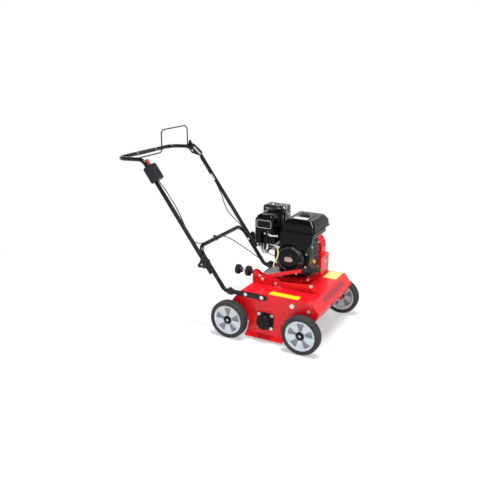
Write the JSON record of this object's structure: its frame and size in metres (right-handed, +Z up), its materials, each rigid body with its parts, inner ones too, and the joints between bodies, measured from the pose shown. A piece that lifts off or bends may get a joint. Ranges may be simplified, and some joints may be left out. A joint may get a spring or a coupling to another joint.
{
  "type": "petrol scarifier",
  "caption": "Walk-behind petrol scarifier: bent sheet deck on wheels, knife rotor driven by belt, engine on top, depth lever and folding tube handle.",
  "frame": {"origin": "middle of the bounding box on the ground that the tyres stand on", "axes": "+X forward, away from the handle; +Y to the machine's left, the belt side; +Z up"},
  "size_m": [1.2021, 0.6164, 0.9948],
  "materials": {
    "red_paint": "gloss signal-red powder coat",
    "black_paint": "gloss black paint",
    "black_plastic": "moulded black plastic",
    "dark_plastic": "dark blue-grey moulded plastic",
    "red_plastic": "red moulded plastic",
    "engine_cast": "dark painted casting",
    "engine_plastic": "satin dark grey moulding",
    "rubber": "matt black rubber",
    "tyre": "dark grey tyre rubber",
    "rim": "light grey moulded plastic",
    "zinc": "zinc-plated steel",
    "steel": "bare and darkened steel",
    "alloy": "bare cast alloy",
    "grey_plate": "light grey painted plate",
    "yellow": "yellow moulded plastic"
  },
  "bodies": {
    "chassis": {"deck_shell": "red_paint", "side_skirt_right": "red_paint", "side_skirt_left": "red_paint", "handle_bracket_right": "black_paint", "handle_bracket_left": "black_paint", "bearing_flange": "black_paint", "bearing_cover": "black_plastic", "belt_partition": "black_paint", "rear_axle": "zinc", "drive_belt": "rubber", "belt_guard": "red_paint", "engine_plinth": "red_paint", "engine_plate": "grey_plate", "crankcase": "engine_cast", "oil_filler": "yellow", "cylinder": "alloy", "spark_plug_cap": "rubber", "blower_housing": "engine_plastic", "recoil_cover": "engine_plastic", "shroud_panel": "engine_plastic", "fuel_tank": "engine_plastic", "air_cleaner_cover": "engine_plastic", "air_cleaner_base": "black_plastic", "carburettor": "alloy", "muffler": "steel", "muffler_guard": "black_paint", "lever_bracket": "red_paint", "lower_handle": "black_paint", "throttle_cable": "rubber", "clutch_cable": "rubber"},
    "rear_flap": {"rear_flap": "rubber"},
    "wheel_rear_right": {"rim_rear_right": "rim", "tyre_rear_right": "tyre"},
    "wheel_rear_left": {"rim_rear_left": "rim", "tyre_rear_left": "tyre"},
    "wheel_front_right": {"rim_front_right": "rim", "tyre_front_right": "tyre"},
    "wheel_front_left": {"rim_front_left": "rim", "tyre_front_left": "tyre"},
    "front_crank": {"front_crank": "red_paint"},
    "rotor": {"rotor": "steel", "rotor_pulley": "steel"},
    "engine_pulley": {"engine_pulley": "steel"},
    "idler_arm": {"idler_arm": "steel"},
    "depth_lever": {"depth_lever": "red_paint", "lever_grip": "rubber"},
    "link_bar": {"link_bar": "red_paint"},
    "depth_knob": {"depth_knob": "black_plastic"},
    "lock_knob": {"lock_knob": "black_plastic"},
    "upper_handle": {"upper_handle": "black_paint", "bail_bracket": "black_paint", "clutch_adjuster": "black_plastic", "control_box": "dark_plastic"},
    "star_knob_right": {"star_knob_right": "black_plastic"},
    "star_knob_left": {"star_knob_left": "black_plastic"},
    "bail_wire": {"bail_wire": "black_paint"},
    "throttle_lever": {"throttle_lever": "red_plastic"},
    "starter_grip": {"starter_grip": "black_plastic"},
    "fuel_cap": {"fuel_cap": "black_plastic"},
    "choke_lever": {"choke_lever": "black_plastic"}
  },
  "joints": [
    {"name": "rear_flap_swing", "type": "hinge", "parent": "chassis", "child": "rear_flap", "pos_m": [0.10495, 0, 0.17677], "axis": [0, 1, 0], "range_deg": [0, 70]},
    {"name": "wheel_rear_right_spin", "type": "hinge", "parent": "chassis", "child": "wheel_rear_right", "pos_m": [0.1042, -0.2842, 0.09877], "axis": [0, 1, 0], "continuous": true},
    {"name": "wheel_rear_left_spin", "type": "hinge", "parent": "chassis", "child": "wheel_rear_left", "pos_m": [0.1042, 0.2842, 0.09877], "axis": [0, 1, 0], "continuous": true},
    {"name": "front_crank_swing", "type": "hinge", "parent": "chassis", "child": "front_crank", "pos_m": [0.42995, 0, 0.21577], "axis": [0, -1, 0], "range_deg": [0, 23.2]},
    {"name": "wheel_front_right_spin", "type": "hinge", "parent": "front_crank", "child": "wheel_front_right", "pos_m": [0.5017, -0.2842, 0.09877], "axis": [0, 1, 0], "continuous": true},
    {"name": "wheel_front_left_spin", "type": "hinge", "parent": "front_crank", "child": "wheel_front_left", "pos_m": [0.5017, 0.2842, 0.09877], "axis": [0, 1, 0], "continuous": true},
    {"name": "rotor_spin", "type": "hinge", "parent": "chassis", "child": "rotor", "pos_m": [0.28895, 0, 0.10877], "axis": [0, 1, 0], "continuous": true},
    {"name": "engine_pulley_spin", "type": "hinge", "parent": "chassis", "child": "engine_pulley", "pos_m": [0.33695, 0.201, 0.39477], "axis": [0, 1, 0], "continuous": true},
    {"name": "depth_lever_swing", "type": "hinge", "parent": "chassis", "child": "depth_lever", "pos_m": [0.21195, -0.116, 0.28077], "axis": [0, -1, 0], "range_deg": [0, 60]},
    {"name": "link_bar_swing", "type": "hinge", "parent": "depth_lever", "child": "link_bar", "pos_m": [0.28795, -0.116, 0.27077], "axis": [0, -1, 0], "range_deg": [-77, 0]},
    {"name": "depth_knob_turn", "type": "hinge", "parent": "chassis", "child": "depth_knob", "pos_m": [0.06395, -0.11, 0.30577], "axis": [1, 0, 0], "continuous": true},
    {"name": "lock_knob_turn", "type": "hinge", "parent": "chassis", "child": "lock_knob", "pos_m": [0.12395, -0.11, 0.30577], "axis": [1, 0, 0], "continuous": true},
    {"name": "upper_handle_fold", "type": "hinge", "parent": "chassis", "child": "upper_handle", "pos_m": [-0.05305, 0, 0.36477], "axis": [0, 1, 0], "range_deg": [0, 100], "deforming": ["throttle_cable", "clutch_cable"]},
    {"name": "star_knob_right_turn", "type": "hinge", "parent": "upper_handle", "child": "star_knob_right", "pos_m": [-0.05305, -0.2655, 0.36477], "axis": [0, 1, 0], "continuous": true},
    {"name": "star_knob_left_turn", "type": "hinge", "parent": "upper_handle", "child": "star_knob_left", "pos_m": [-0.05305, 0.2655, 0.36477], "axis": [0, 1, 0], "continuous": true},
    {"name": "bail_swing", "type": "hinge", "parent": "upper_handle", "child": "bail_wire", "pos_m": [-0.45698, 0, 0.86981], "axis": [0, -1, 0], "range_deg": [0, 85], "stiffness_Nm_per_rad": 0.6, "springref_deg": -11.46},
    {"name": "idler_arm_swing", "type": "hinge", "parent": "chassis", "child": "idler_arm", "pos_m": [0.27095, 0.201, 0.28877], "axis": [0, 1, 0], "range_deg": [0, 8.5]},
    {"name": "throttle_lever_swing", "type": "hinge", "parent": "upper_handle", "child": "throttle_lever", "pos_m": [-0.36042, -0.2535, 0.82756], "axis": [0, 1, 0], "range_deg": [0, 34]},
    {"name": "starter_grip_pull", "type": "slide", "parent": "chassis", "child": "starter_grip", "axis": [-0.3907, 0, 0.9205], "range_m": [0, 0.45], "stiffness_N_per_m": 40, "springref_m": -0.02},
    {"name": "fuel_cap_turn", "type": "hinge", "parent": "chassis", "child": "fuel_cap", "pos_m": [0.37695, 0.02, 0.60207], "axis": [0, 0, 1], "range_deg": [0, 90]},
    {"name": "choke_lever_swing", "type": "hinge", "parent": "chassis", "child": "choke_lever", "pos_m": [0.16495, -0.032, 0.43077], "axis": [0, -1, 0], "range_deg": [0, 60]}
  ],
  "couplings": [
    {"joint": "engine_pulley_spin", "follows": "rotor_spin", "ratio": 1.1429},
    {"joint": "depth_lever_swing", "follows": "front_crank_swing", "ratio": 2.586},
    {"joint": "link_bar_swing", "follows": "front_crank_swing", "ratio": -3.3147},
    {"joint": "idler_arm_swing", "follows": "bail_swing", "ratio": 0.1}
  ]
}
